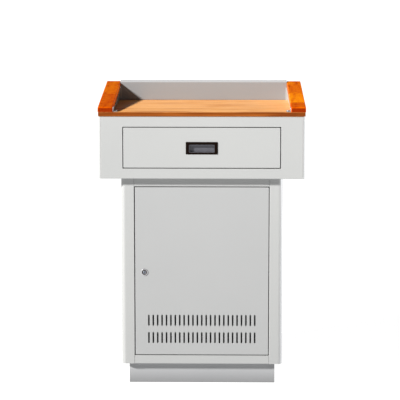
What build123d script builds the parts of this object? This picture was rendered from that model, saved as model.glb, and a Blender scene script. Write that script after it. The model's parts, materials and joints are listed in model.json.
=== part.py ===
from build123d import *
import math
import os

# A steel lectern with a wooden desk: millimetres, +Z up, the speaker stands on the -Y side.
# The origin is on the floor under the middle of the lectern.

# Overall sizes
DEPTH = 500.0
DESK_TOP = 1012.0
BOARD = 15.0
FENCE_TOP = 1087.0
EDGE_BAND = 1.0

# Plinth, lower cabinet and upper box: half widths, half depths and heights
PLINTH_X, PLINTH_Y, PLINTH_TOP = 268.0, 187.0, 78.0
CABINET_X, CABINET_Y, CABINET_TOP = 294.0, 217.0, 770.0
BOX_X, BOX_Y, BOX_TOP = 372.0, 247.0, DESK_TOP - BOARD
BOARD_X = BOX_X + 1

# Plinth strips, and bolts measured from the plinth's faces
PLINTH_FLANGE, PLINTH_FOOT = 27.0, 15.0
END_BOLT_INSET, SIDE_BOLT_INSET = 11.0, 14.0
BOLT_X = 200.0

# Carcass of the cabinet
BASE_START = -PLINTH_Y + 22.0
RAIL_DEPTH, SILL_DEPTH, REAR_RAIL_DROP = 47.0, 51.0, 30.0
PANEL_GAP = 2.0
BOX_BOLT_Y = {"front": -190.0, "rear": 195.0}
CABINET_SCREW_INSET, CABINET_SCREW_Z = 10.0, (120, 320, 520, 700)
SHELF_TOP, SHELF_GAP, SHELF_Y = 410.0, 4.0, (-175.0, 205.0)
SHELF_BRACKET_WIDTH, SHELF_BRACKET_HEIGHT, SHELF_BRACKET_LENGTH = 17.0, 38.0, 40.0
SHELF_BRACKET_Y = (-140, 125)

# Sheet metal
SHEET = 1.2
BASE_SHEET = 1.5
BEND = 2.0
REVERSE_BEND = BEND - SHEET
CORNER = 15.0
BOX_CORNER = 6.5
SEAM = 0.3
SKIN_EDGE = 1.0
PAN_CORNER = 2.5
FLANGE = 20.0

# Door
DOOR_X, SILL, HEAD = 246.5, 109.5, 737.5
STOP_LIP = 12.5
GAP = 3.0
HINGE_GAP = 2.7
FLUSH = 0.4
DOOR_DEPTH = 18.0
DOOR_FRONT = -CABINET_Y + FLUSH
PIVOT_X = DOOR_X - HINGE_GAP - 12.0
PIVOT_Y = DOOR_FRONT + 6.0
PIN_R = 3.0
RUNNING = 0.05
FREE = 0.3
COLLAR_R = 5.5
PIN_HEAD_R = 4.5
LOCK_X, LOCK_Z = -210.0, 420.5
PIN_PASS, PIN_REACH, PIN_HEAD = 1.5, 8.5, 4.0
HINGE_PLATE = 3.0
HINGE_PLATE_X = (PIVOT_X - 14.0, PIVOT_X + 13.0)
HINGE_PLATE_Y = (-CABINET_Y + 2.5, -CABINET_Y + 17.0)
PAD_X, PAD_WIDTH, PAD_ROUND = 150.0, 20.0, 2.0
PAD_FROM, PAD_TO = 3.0, 11.5

# Vent slots
SLOT_PITCH, SLOT_WIDTH, SLOT_LENGTH = 16.2, 5.8, 41.0
DOOR_SLOTS, REAR_SLOTS = 25, 15
DOOR_SLOT_ROWS = (176.0, 241.0)
REAR_SLOT_ROWS = (632.0, 697.0)

# Stiffener inside the door, above the vents
STIFFENER_X, CROWN_X, CROWN_DEPTH = 35.0, 20.0, 15.0
STIFFENER_Z = (DOOR_SLOT_ROWS[1] + 45.0, HEAD - 15.0)

# Box: where its corners meet the fascia, its inner flanges, and screws measured from its faces
FASCIA_X = BOX_X - BOX_CORNER - 1.1
TOP_FLANGE_WIDTH, TOP_FLANGE_Y = 21.0, (-BOX_Y + 22.0, BOX_Y - 3.0)
BOX_RAIL_WIDTH, BOX_RAIL_HEIGHT, BOX_RAIL_X = 30.0, 25.0, BOX_X - 22.5
SCREW_INSET, BOX_SCREW_RISE = 11.0, (34, 114, 194)
BOARD_SCREW_X = (-270, -90, 90, 270)

# Drawer, its opening and its slides
OPENING_X, OPENING_LOW, OPENING_HIGH = 286.0, 807.0, 958.5
COLLAR_DEPTH = 13.0
DRAWER_FRONT = -BOX_Y + FLUSH
FRONT_DEPTH = 14.0
TRAY_LOW, TRAY_HIGH, TRAY_REAR = 818.0, 942.0, 176.0
PARTITION_X, PARTITION_FOOT, PARTITION_TOP = OPENING_X + 2.0, 17.0, OPENING_HIGH + 4.0
PARTITION_Y = (-BOX_Y + FLANGE + 1.0, BOX_Y - 12.0)
SLIDE_START, SLIDE_END = -224.0, 176.0
SLIDE_LOW, SLIDE_HIGH = 860.0, 905.0
SLIDE_THICK = 12.7
TRAY_X = PARTITION_X - SLIDE_THICK
# Slide members: distances of their two faces from the partition, and how much lower they are at each edge
OUTER_MEMBER, MIDDLE_MEMBER, INNER_MEMBER = (0.0, 10.5, 0.0), (2.5, 9.5, 3.5), (5.0, SLIDE_THICK, 6.5)

# Flush pull
HANDLE_Z = 881.5
HANDLE_WIDTH, HANDLE_HEIGHT, HANDLE_THICK = 115.5, 45.0, 2.6
CUP_WIDTH, CUP_HEIGHT, CUP_DEPTH, CUP_WALL = 91.6, 27.6, 13.5, 1.0
CUP_DROP, CUP_ROUND, HOLLOW_ROUND = 1.5, 2.0, 1.5
HANDLE_ROUND, HANDLE_BEVEL, RIM_BEVEL = 2.0, 1.4, 1.0
HANDLE_SCREW_X = 52.0

# Fence and armrests on the desk
FENCE_X, FENCE_INNER_X = 372.0, 325.0
BACK_WALL_Y = 225.0
BACK_CHAMFER = 6.0
REST_OUTER_X, REST_INNER_X = 375.0, FENCE_INNER_X - 4.0
REST_FRONT, REST_TOE = -249.0, -238.0
REST_NOSE = 18.0
NOSE_ROUND, REST_ROUND = 9.0, 4.0
REST_RISE = 52.0
SLOPE = REST_RISE / (DEPTH / 2 - REST_TOE)
SLOPE_ANGLE = math.atan(SLOPE)
CORNER_STRIP = 8.0
FENCE_START, FENCE_END_WALL = -226.0, 20.0
FENCE_FLANGE_WIDTH, FENCE_FLANGE_START = 22.0, -150.0
BACK_SLOT_START, BACK_SLOT_MARGIN = 5.5, 5.0
SIDE_FENCE_BOLT_Y, REAR_FENCE_BOLT_INSET = (-100, 60, 200), 6.0
ARMREST_SCREW_Y = (-50, 90, 215)
BRACKET_LEG, BRACKET_Y, BRACKET_HOLE = 16.0, (-244.0, -184.0), 9.6
BRACKET_SIDE_Y, BRACKET_DESK_Y = (-236, -205), (-222, -192)

# Fasteners: shank radius, length, head width or radius, head height
BASE_BOLT = (3.0, 14.0, 10.0, 4.0)
FENCE_BOLT = (2.5, 24.0, 8.0, 3.5)
SHEET_SCREW = (2.0, 9.0, 4.0, 2.2)
WOOD_SCREW = (2.0, 14.0, 4.0, 2.2)
HANDLE_SCREW = (1.5, 2.8, 3.0, 1.8)
BRACKET_SCREW = (1.5, 10.0, 2.8, 1.6)
CLEAR = 0.3
NUT_HEIGHT = 4.5
SCREW_DOME, SCREW_CROSS = 0.6, 0.25
SHORT_REACH = 5.0
GROMMET_R, GROMMET_LIP = 30.0, 2.0
FLOOR_CABLE = (0.0, 120.0, CABINET_TOP + BASE_SHEET)
REAR_CABLE = (-200.0, CABINET_Y - SHEET, 270.0)

# Cam lock in the door: radii, and distances behind the door's front face
LOCK_BARREL_R, LOCK_HEAD_R, PLUG_R = 9.5, 12.5, 6.0
LOCK_HEAD, LOCK_BARREL = 2.6, 18.6
DIAL_R, DIAL_DEPTH = 8.2, 1.2
CAM_FRONT, CAM_THICK, CAM_REACH, CAM_WIDTH = 20.0, 2.0, 47.0, 14.0
CAM_TOP, CAM_ROUND = 8.0, 4.0
TENON_R = 4.0
LOCK_ROUND, PLUG_ROUND, PLUG_SUNK = 1.2, 0.6, 0.5
KEYWAY_X, KEYWAY_Z, KEYWAY_DEPTH = 0.9, 3.6, 12.0
LOCK_NUT, CAM_NUT = (24.0, 4.0), (12.0, 3.0)

SIDES = {"left": -1, "right": 1}
OPEN_SIDES = {"left": (0, 0), "right": (0, 1), "front": (1, 0), "rear": (1, 1), "top": (2, 1)}
CYLINDER_BASE = (Align.CENTER, Align.CENTER, Align.MIN)
UP, DOWN, BACKWARD = (0, 0, 1), (0, 0, -1), (0, 1, 0)


# Shapes used by many pieces

def slab(x, y, z):
    """Block between three (low, high) ranges."""
    size = [high - low for low, high in (x, y, z)]
    centre = [(low + high) / 2 for low, high in (x, y, z)]
    return Pos(*centre) * Box(*size)


def tray(x, y, z, wall, *open_sides):
    """Sheet pan of the given outer ranges, open on the named sides."""
    outer = (x, y, z)
    inner = [[low + wall, high - wall] for low, high in outer]
    for side in open_sides:
        axis, end = OPEN_SIDES[side]
        inner[axis][end] = outer[axis][end] + (wall if end else -wall)
    return slab(*outer) - slab(*inner)


def along_x(section, start, end):
    """Section drawn in Y and Z, drawn out along X."""
    return extrude(Plane.YZ.offset(start) * section, amount=end - start)


def along_y(section, start, end):
    """Section drawn in X and Z, drawn out along Y."""
    return extrude(Plane.XZ.offset(-start) * section, amount=end - start, dir=BACKWARD)


def along_z(section, start, end):
    """Section drawn in X and Y, drawn out along Z."""
    return extrude(Plane.XY.offset(start) * section, amount=end - start)


def folded(points, radii, side, thickness=SHEET):
    """Section of a folded sheet: the points lie on one skin, the thickness goes to one side of them."""
    skin = FilletPolyline(*points, radius=radii)
    return make_face(offset(skin, amount=thickness, side=side).edges())


def polygon(points):
    return make_face(Polyline(*points, close=True).edges())


def rod(start, direction, radius, length):
    return Plane(origin=start, z_dir=direction) * Cylinder(radius, length, align=CYLINDER_BASE)


def hex_rod(start, direction, width, length):
    outline = RegularPolygon(width / 2, 6, major_radius=False)
    return Plane(origin=start, z_dir=direction) * extrude(outline, amount=length)


def drill(part, points, direction, radius, reach=BOARD):
    """Holes centred on the points, reaching both ways along the direction."""
    step = Vector(*direction) * reach
    for point in points:
        part = part - rod(Vector(*point) - step, direction, radius, 2 * reach)
    return part


def rounded_block(x, y, z, radius):
    """Block whose four edges along Y are rounded."""
    outline = RectangleRounded(x[1] - x[0], z[1] - z[0], radius)
    return along_y(Pos((x[0] + x[1]) / 2, (z[0] + z[1]) / 2) * outline, *y)


def face_pan(x, z, front, depth):
    """Flush front: a flat skin with folded edges and slightly rounded corners."""
    outer = rounded_block(x, (front, front + depth), z, PAN_CORNER)
    inner_x = (x[0] + SHEET, x[1] - SHEET)
    inner_z = (z[0] + SHEET, z[1] - SHEET)
    inner = rounded_block(inner_x, (front + SHEET, front + depth + SHEET), inner_z, PAN_CORNER - SHEET)
    pan = outer - inner
    return fillet(pan.faces().sort_by(Axis.Y)[0].edges(), SKIN_EDGE)


def vent_slots(count, rows, y):
    """Upright round-ended slots in rows, as one cutting block at the given Y range."""
    slot = SlotOverall(SLOT_LENGTH, SLOT_WIDTH, rotation=90)
    first = -(count - 1) / 2 * SLOT_PITCH
    places = [Pos(first + i * SLOT_PITCH, row) for row in rows for i in range(count)]
    return along_y(Sketch() + [place * slot for place in places], *y)


def bolt(point, direction, size):
    """Hexagon bolt: the point is under its head, the direction leads out of the head."""
    radius, length, width, height = size
    head = hex_rod(point, direction, width, height)
    shank = rod(point, Vector(*direction) * -1, radius, length)
    return head + shank


def nut(point, direction, size):
    """Hexagon nut standing on the point, with a clear bore for its bolt."""
    body = hex_rod(point, direction, size[2], NUT_HEIGHT)
    return drill(body, [point], direction, size[0] + RUNNING)


def screw(point, direction, size):
    """Cross-recess pan-head screw: the point is under its head, the direction leads out of the head."""
    radius, length, head_r, height = size
    head = rod(point, direction, head_r, height)
    head = fillet(head.edges().sort_by(lambda e: Vector(*direction).dot(e.center()))[-1], height * SCREW_DOME)
    top = Plane(origin=Vector(*point) + Vector(*direction) * height, z_dir=direction)
    bar = head_r * SCREW_CROSS
    cross = Box(head_r, bar, height) + Box(bar, head_r, height)
    return head + rod(point, Vector(*direction) * -1, radius, length) - top * cross


def group(solids):
    return Compound(children=list(solids))


def rest_line(y):
    """Height of the sloping top of the side fence."""
    return DESK_TOP + SLOPE * (y - REST_TOE)


# Plinth: four folded strips that stand on the floor

def plinth_front():
    front = -PLINTH_Y
    points = [(front + PLINTH_FLANGE, PLINTH_TOP), (front, PLINTH_TOP), (front, 0), (front + PLINTH_FOOT, 0)]
    strip = along_x(folded(points, [BEND, BEND], Side.LEFT, BASE_SHEET), -PLINTH_X, PLINTH_X)
    return drill(strip, plinth_bolt_points("front"), UP, BASE_BOLT[0] + CLEAR)


def plinth_rear():
    return mirror(plinth_front(), about=Plane.XZ)


def plinth_side(sign):
    face = PLINTH_X
    points = [(face - PLINTH_FLANGE, PLINTH_TOP), (face, PLINTH_TOP), (face, 0), (face - PLINTH_FOOT, 0)]
    flange_end = PLINTH_Y - PLINTH_FLANGE - BEND
    strip = along_y(folded(points, [BEND, BEND], Side.RIGHT, BASE_SHEET), -flange_end, flange_end)
    end = PLINTH_Y - BASE_SHEET - SEAM
    web = slab((face - BASE_SHEET, face), (-end, end), (BEND, PLINTH_TOP - BEND))
    strip = drill(strip + web, [(face - SIDE_BOLT_INSET, 0, PLINTH_TOP)], UP, BASE_BOLT[0] + CLEAR)
    return strip if sign > 0 else mirror(strip, about=Plane.YZ)


def plinth_bolt_points(where):
    """Bolts through the cabinet floor into the plinth, under their heads."""
    end_y, side_x = PLINTH_Y - END_BOLT_INSET, PLINTH_X - SIDE_BOLT_INSET
    rows = {
        "front": [(x, -end_y, PLINTH_TOP + SHEET) for x in (-BOLT_X, BOLT_X)],
        "rear": [(x, end_y, PLINTH_TOP + BASE_SHEET) for x in (-BOLT_X, BOLT_X)],
        "side": [(x, 0, PLINTH_TOP + BASE_SHEET) for x in (-side_x, side_x)],
    }
    return rows[where]


# Lower cabinet

def cabinet_side(sign):
    """Side, rounded corner, front stile and rear flange, folded from one sheet."""
    points = [
        (CABINET_X - FLANGE, CABINET_Y),
        (CABINET_X, CABINET_Y),
        (CABINET_X, -CABINET_Y),
        (DOOR_X, -CABINET_Y),
        (DOOR_X, -CABINET_Y + FLANGE),
    ]
    panel = along_z(folded(points, [BEND, CORNER, BEND], Side.RIGHT), PLINTH_TOP, CABINET_TOP)
    panel = panel if sign > 0 else mirror(panel, about=Plane.YZ)
    return drill(panel, cabinet_screw_points(sign), BACKWARD, SHEET_SCREW[0] + CLEAR)


def cabinet_screw_points(sign):
    return [(sign * (CABINET_X - CABINET_SCREW_INSET), CABINET_Y, z) for z in CABINET_SCREW_Z]


def base_panel():
    inner = CABINET_X - SHEET - CLEAR
    y = (BASE_START, CABINET_Y - 2 * SHEET - CLEAR)
    panel = tray((-inner, inner), y, (PLINTH_TOP, PLINTH_TOP + FLANGE), BASE_SHEET, "top", "front")
    points = plinth_bolt_points("rear") + plinth_bolt_points("side")
    return drill(panel, points, UP, BASE_BOLT[0] + CLEAR, SHORT_REACH)


def bottom_rail():
    """Sill under the door with an upturned stop lip."""
    front = -CABINET_Y
    points = [
        (front + SILL_DEPTH, PLINTH_TOP),
        (front, PLINTH_TOP),
        (front, SILL),
        (front + FLANGE, SILL),
        (front + FLANGE, SILL + STOP_LIP),
    ]
    half = DOOR_X - SEAM
    rail = along_x(folded(points, [BEND, BEND, REVERSE_BEND], Side.RIGHT), -half, half)
    rail = rail - hinge_notch(SILL + BEND, SILL + 2 * STOP_LIP)
    rail = drill(rail, plinth_bolt_points("front"), UP, BASE_BOLT[0] + CLEAR, SHORT_REACH)
    return drill(rail, [(PIVOT_X, PIVOT_Y, SILL)], UP, PIN_R + PIN_PASS, SHORT_REACH)


def hinge_notch(low, high):
    """End of a stop lip that is cut off, so that the door's folded edge swings past it."""
    lip = -CABINET_Y + FLANGE
    return slab((PIVOT_X - DOOR_DEPTH, DOOR_X), (lip - 2 * SHEET, lip + 2 * SHEET), (low, high))


def top_rail():
    """Rail over the door with a downturned stop lip."""
    front = -CABINET_Y
    points = [
        (front + RAIL_DEPTH, CABINET_TOP),
        (front, CABINET_TOP),
        (front, HEAD),
        (front + FLANGE, HEAD),
        (front + FLANGE, HEAD - STOP_LIP),
    ]
    half = DOOR_X - SEAM
    rail = along_x(folded(points, [BEND, BEND, REVERSE_BEND], Side.LEFT), -half, half)
    rail = rail - hinge_notch(HEAD - 2 * STOP_LIP, HEAD - BEND)
    rail = drill(rail, cabinet_bolt_points("front"), UP, BASE_BOLT[0] + CLEAR, SHORT_REACH)
    return drill(rail, [(PIVOT_X, PIVOT_Y, HEAD)], UP, PIN_R + PIN_PASS, SHORT_REACH)


def rear_top_rail():
    rear = CABINET_Y - 2 * SHEET - CLEAR
    points = [(rear - RAIL_DEPTH, CABINET_TOP), (rear, CABINET_TOP), (rear, CABINET_TOP - REAR_RAIL_DROP)]
    half = CABINET_X - SHEET - CLEAR
    rail = along_x(folded(points, [BEND], Side.RIGHT), -half, half)
    return drill(rail, cabinet_bolt_points("rear"), UP, BASE_BOLT[0] + CLEAR, SHORT_REACH)


def cabinet_bolt_points(where):
    """Bolts that hold the box on the cabinet, under their heads."""
    return [(x, BOX_BOLT_Y[where], CABINET_TOP + BASE_SHEET) for x in (-BOLT_X, 0, BOLT_X)]


def rear_panel():
    inner = CABINET_X - SHEET - BEND
    y = (CABINET_Y - 2 * SHEET, CABINET_Y - SHEET)
    panel = slab((-inner, inner), y, (PLINTH_TOP + PANEL_GAP, CABINET_TOP - PANEL_GAP))
    panel = panel - vent_slots(REAR_SLOTS, REAR_SLOT_ROWS, (y[0] - SHEET, y[1] + SHEET))
    panel = drill(panel, [REAR_CABLE], BACKWARD, GROMMET_R)
    points = cabinet_screw_points(-1) + cabinet_screw_points(1)
    return drill(panel, points, BACKWARD, SHEET_SCREW[0] + CLEAR)


def shelf():
    front, rear = SHELF_Y
    low = SHELF_TOP - FLANGE
    points = [(front, low), (front, SHELF_TOP), (rear, SHELF_TOP), (rear, low)]
    half = CABINET_X - SHELF_GAP
    return along_x(folded(points, [BEND, BEND], Side.RIGHT), -half, half)


def shelf_brackets():
    """Four angles on the cabinet sides that carry the shelf."""
    wall, top = CABINET_X - SHEET, SHELF_TOP - SHEET
    points = [(wall, top - SHELF_BRACKET_HEIGHT), (wall, top), (wall - SHELF_BRACKET_WIDTH, top)]
    section = folded(points, [BEND], Side.LEFT, BASE_SHEET)
    right = [along_y(section, y, y + SHELF_BRACKET_LENGTH) for y in SHELF_BRACKET_Y]
    return group(right + [mirror(bracket, about=Plane.YZ) for bracket in right])


def hinge_bracket(low):
    """Thick plate behind the rail flange that carries a door pin."""
    plate = slab(HINGE_PLATE_X, HINGE_PLATE_Y, (low, low + HINGE_PLATE))
    return drill(plate, [(PIVOT_X, PIVOT_Y, low)], UP, PIN_R + RUNNING)


def stop_pads():
    """Rubber pads on the stop lips, just clear of the closed door."""
    lip = -CABINET_Y + FLANGE
    y = (DOOR_FRONT + DOOR_DEPTH + FREE, lip)
    heights = [(HEAD - PAD_TO, HEAD - PAD_FROM), (SILL + PAD_FROM, SILL + PAD_TO)]
    widths = [(x - PAD_WIDTH / 2, x + PAD_WIDTH / 2) for x in (-PAD_X, PAD_X)]
    pads = [slab(x, y, z) for x in widths for z in heights]
    return group(fillet(pad.edges().filter_by(Axis.Y), PAD_ROUND) for pad in pads)


# Upper box

def box_side(sign):
    """Box side with its front corner, rear flange and a top flange under the desk board."""
    points = [(BOX_X - FLANGE, BOX_Y), (BOX_X, BOX_Y), (BOX_X, -BOX_Y), (FASCIA_X, -BOX_Y)]
    panel = along_z(folded(points, [BEND, BOX_CORNER], Side.RIGHT), CABINET_TOP, BOX_TOP)
    top_x = (BOX_X - TOP_FLANGE_WIDTH, BOX_X - SHEET / 2)
    panel = panel + slab(top_x, TOP_FLANGE_Y, (BOX_TOP - SHEET, BOX_TOP))
    panel = panel if sign > 0 else mirror(panel, about=Plane.YZ)
    panel = drill(panel, side_fence_bolt_points(sign), UP, FENCE_BOLT[0] + CLEAR)
    return drill(panel, box_screw_points(sign), BACKWARD, SHEET_SCREW[0] + CLEAR, SHORT_REACH)


def box_screw_points(sign):
    return [(sign * (BOX_X - SCREW_INSET), BOX_Y, CABINET_TOP + rise) for rise in BOX_SCREW_RISE]


def box_floor():
    inner = BOX_X - SHEET - CLEAR
    y = (-BOX_Y + FLANGE + FREE, BOX_Y - 2 * SHEET - CLEAR)
    floor = tray((-inner, inner), y, (CABINET_TOP, CABINET_TOP + FLANGE), BASE_SHEET, "top", "front")
    points = cabinet_bolt_points("front") + cabinet_bolt_points("rear")
    floor = drill(floor, points, UP, BASE_BOLT[0] + CLEAR)
    return drill(floor, [FLOOR_CABLE], UP, GROMMET_R)


def front_fascia():
    """Front of the box with the collared drawer opening."""
    half = FASCIA_X - SEAM
    y = (-BOX_Y, -BOX_Y + FLANGE)
    fascia = tray((-half, half), y, (CABINET_TOP, BOX_TOP), SHEET, "rear", "left", "right")
    fascia = fillet(fascia.edges().filter_by(Axis.X).group_by(Axis.Y)[0], BEND)
    opening = ((-OPENING_X, OPENING_X), (OPENING_LOW, OPENING_HIGH))
    ring = [(low - SHEET, high + SHEET) for low, high in opening]
    collar_y = (-BOX_Y + SHEET / 2, -BOX_Y + COLLAR_DEPTH)
    fascia = fascia + rounded_block(ring[0], collar_y, ring[1], PAN_CORNER + SHEET)
    fascia = fascia - rounded_block(opening[0], (-BOX_Y - SHEET, -BOX_Y + FLANGE), opening[1], PAN_CORNER)
    rim = fascia.faces().sort_by(Axis.Y)[0].inner_wires()[0].edges()
    fascia = fillet(rim, REVERSE_BEND)
    return drill(fascia, board_screw_points(), UP, WOOD_SCREW[0] + CLEAR, SHORT_REACH)


def box_rear_panel():
    half = BOX_X - SHEET - BEND
    z = (CABINET_TOP + PANEL_GAP, BOX_TOP - PANEL_GAP)
    panel = slab((-half, half), (BOX_Y - 2 * SHEET, BOX_Y - SHEET), z)
    points = box_screw_points(-1) + box_screw_points(1)
    return drill(panel, points, BACKWARD, SHEET_SCREW[0] + CLEAR)


def box_rear_rail():
    rear = BOX_Y - 2 * SHEET - CLEAR
    points = [(rear - BOX_RAIL_WIDTH, BOX_TOP), (rear, BOX_TOP), (rear, BOX_TOP - BOX_RAIL_HEIGHT)]
    rail = along_x(folded(points, [BEND], Side.RIGHT), -BOX_RAIL_X, BOX_RAIL_X)
    return drill(rail, rear_fence_bolt_points(), UP, FENCE_BOLT[0] + CLEAR)


def drawer_partition(sign):
    """Upright plate on the box floor that carries one drawer slide."""
    low = CABINET_TOP + BASE_SHEET
    points = [(PARTITION_X + PARTITION_FOOT, low), (PARTITION_X, low), (PARTITION_X, PARTITION_TOP)]
    plate = along_y(folded(points, [BEND], Side.RIGHT, BASE_SHEET), *PARTITION_Y)
    return plate if sign > 0 else mirror(plate, about=Plane.YZ)


def slide_member(member, opens_inward, sign):
    """One C-shaped member of a three-part drawer slide."""
    outer_x, inner_x = PARTITION_X - member[0], PARTITION_X - member[1]
    low, high = SLIDE_LOW + member[2], SLIDE_HIGH - member[2]
    web, tip = (outer_x, inner_x) if opens_inward else (inner_x, outer_x)
    turn = Side.LEFT if opens_inward else Side.RIGHT
    points = [(tip, low), (web, low), (web, high), (tip, high)]
    channel = along_y(folded(points, [BEND, BEND], turn), SLIDE_START, SLIDE_END)
    return channel if sign > 0 else mirror(channel, about=Plane.YZ)


def slide_outer(sign):
    return slide_member(OUTER_MEMBER, True, sign)


def slide_middle(sign):
    return slide_member(MIDDLE_MEMBER, True, sign)


def slide_inner(sign):
    return slide_member(INNER_MEMBER, False, sign)


def grommet(point, direction, plate):
    """Rubber cable bush; the point is the hole's centre on the plate's rear or top face."""
    start = Vector(*point) - Vector(*direction) * (plate + GROMMET_LIP)
    middle = rod(start, direction, GROMMET_R - FREE, plate + 2 * GROMMET_LIP)
    near = rod(point, direction, GROMMET_R + 2 * GROMMET_LIP, GROMMET_LIP)
    far = rod(start, direction, GROMMET_R + 2 * GROMMET_LIP, GROMMET_LIP)
    return drill(middle + near + far, [point], direction, GROMMET_R - 3 * GROMMET_LIP)


def cable_grommets():
    floor = grommet(FLOOR_CABLE, UP, BASE_SHEET)
    rear = grommet(REAR_CABLE, BACKWARD, SHEET)
    return group([floor, rear])


# Desk, fence and armrests

def desktop_board():
    board = slab((-BOARD_X, BOARD_X), (-DEPTH / 2 + EDGE_BAND, DEPTH / 2), (BOX_TOP, DESK_TOP))
    points = side_fence_bolt_points(-1) + side_fence_bolt_points(1) + rear_fence_bolt_points()
    board = drill(board, points, UP, FENCE_BOLT[0] + CLEAR, 2 * BOARD)
    holes = [rod(point, UP, WOOD_SCREW[0] + RUNNING, WOOD_SCREW[1]) for point in board_screw_points()]
    board = board - holes
    feet = bracket_screw_points("desk")
    feet += [(-x, y, z) for x, y, z in feet]
    return drill(board, feet, UP, BRACKET_SCREW[0] + RUNNING, BRACKET_SCREW[1])


def desk_edge_band():
    """Glued strip along the front edge of the desk board."""
    band = slab((-BOARD_X, BOARD_X), (-DEPTH / 2, -DEPTH / 2 + EDGE_BAND), (BOX_TOP, DESK_TOP))
    return fillet(band.edges().filter_by(Axis.X).group_by(Axis.Y)[0], EDGE_BAND / 2)


def board_screw_points():
    return [(x, -BOX_Y + SCREW_INSET, BOX_TOP - SHEET) for x in BOARD_SCREW_X]


def side_fence_bolt_points(sign):
    return [(sign * (BOX_X - SCREW_INSET), y, BOX_TOP - SHEET) for y in SIDE_FENCE_BOLT_Y]


def rear_fence_bolt_points():
    y = BACK_WALL_Y + REAR_FENCE_BOLT_INSET
    return [(x, y, BOX_TOP - SHEET) for x in (-BOLT_X, 0, BOLT_X)]


def fence_wall(sign):
    """Hollow wedge beside the desk, with a strip that laps the back wall."""
    start, rear = FENCE_START, DEPTH / 2
    skin = SHEET / math.cos(SLOPE_ANGLE)
    outer = [(start, DESK_TOP), (start, rest_line(start)), (rear, rest_line(rear)), (rear, DESK_TOP)]
    hollow = start + FENCE_END_WALL
    inside = rear - SHEET
    inner = [
        (hollow, DESK_TOP - SHEET),
        (hollow, rest_line(hollow) - skin),
        (inside, rest_line(inside) - skin),
        (inside, DESK_TOP - SHEET),
    ]
    wall = along_x(polygon(outer), FENCE_INNER_X, FENCE_X)
    wall = wall - along_x(polygon(inner), FENCE_INNER_X + SHEET, FENCE_X - SHEET)
    strip_y = (BACK_WALL_Y - SHEET, BACK_WALL_Y)
    strip_x = (FENCE_INNER_X - CORNER_STRIP, FENCE_INNER_X + SHEET / 2)
    wall = wall + slab(strip_x, strip_y, (DESK_TOP, rest_line(BACK_WALL_Y) - BEND))
    flange_x = (FENCE_X - FENCE_FLANGE_WIDTH, FENCE_X - SHEET / 2)
    wall = wall + slab(flange_x, (FENCE_FLANGE_START, inside), (DESK_TOP, DESK_TOP + SHEET))
    wall = drill(wall, side_fence_bolt_points(1), UP, FENCE_BOLT[0] + CLEAR, 2 * BOARD - 1)
    for y in ARMREST_SCREW_Y:
        plane = armrest_plane(1, y)
        wall = wall - plane * Cylinder(WOOD_SCREW[0] + CLEAR, 4 * SHEET)
    return wall if sign > 0 else mirror(wall, about=Plane.YZ)


def armrest_plane(sign, y):
    """Plane on the sloping top of the fence, its normal leaving the armrest downwards."""
    normal = (0, math.sin(SLOPE_ANGLE), -math.cos(SLOPE_ANGLE))
    x = sign * (REST_INNER_X + REST_OUTER_X) / 2
    return Plane(origin=(x, y, rest_line(y)), z_dir=normal)


def armrest(sign):
    """Solid wood rest that stands on the desk at its nose and rises along the fence."""
    rear = DEPTH / 2
    nose_top = DESK_TOP + REST_NOSE
    points = [
        (REST_FRONT, DESK_TOP),
        (REST_FRONT, nose_top),
        (rear, nose_top + SLOPE * (rear - REST_FRONT)),
        (rear, rest_line(rear)),
        (REST_TOE, DESK_TOP),
    ]
    rest = along_x(polygon(points), REST_INNER_X, REST_OUTER_X)
    rest = fillet(rest.edges().filter_by(Axis.X).group_by(Axis.Y)[0].sort_by(Axis.Z)[-1], NOSE_ROUND)
    ends = rest.faces().filter_by(Axis.X).edges()
    rims = ends.filter_by(lambda edge: edge.center().Z > rest_line(edge.center().Y) + BEND)
    rest = fillet(rims, REST_ROUND)
    for y in ARMREST_SCREW_Y:
        hole = armrest_plane(1, y) * Cylinder(WOOD_SCREW[0] + RUNNING, 2 * WOOD_SCREW[1])
        rest = rest - hole
    side_holes = bracket_screw_points("armrest")
    rest = drill(rest, side_holes, (1, 0, 0), BRACKET_SCREW[0] + RUNNING, BRACKET_SCREW[1])
    return rest if sign > 0 else mirror(rest, about=Plane.YZ)


def rest_brackets():
    """Small angles that hold the armrests' noses to the desk."""
    x, top = REST_INNER_X, DESK_TOP + BRACKET_LEG
    section = folded([(x, top), (x, DESK_TOP), (x - BRACKET_LEG, DESK_TOP)], [BEND], Side.RIGHT, BASE_SHEET)
    angle = along_y(section, *BRACKET_Y)
    right = drill(angle, bracket_screw_points("armrest"), (1, 0, 0), BRACKET_SCREW[0] + CLEAR, BEND)
    right = drill(right, bracket_screw_points("desk"), UP, BRACKET_SCREW[0] + CLEAR, BEND)
    return group([right, mirror(right, about=Plane.YZ)])


def bracket_screw_points(into):
    """Screws of the right bracket, under their heads."""
    inner, foot = REST_INNER_X - BASE_SHEET, DESK_TOP + BASE_SHEET
    points = {
        "armrest": [(inner, y, DESK_TOP + BRACKET_HOLE) for y in BRACKET_SIDE_Y],
        "desk": [(REST_INNER_X - BRACKET_HOLE, y, foot) for y in BRACKET_DESK_Y],
    }
    return points[into]


def bracket_screws():
    """Screws of both brackets, into the armrests and into the desk."""
    right = [screw(point, (-1, 0, 0), BRACKET_SCREW) for point in bracket_screw_points("armrest")]
    right += [screw(point, UP, BRACKET_SCREW) for point in bracket_screw_points("desk")]
    return group(right + [mirror(each, about=Plane.YZ) for each in right])


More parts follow.
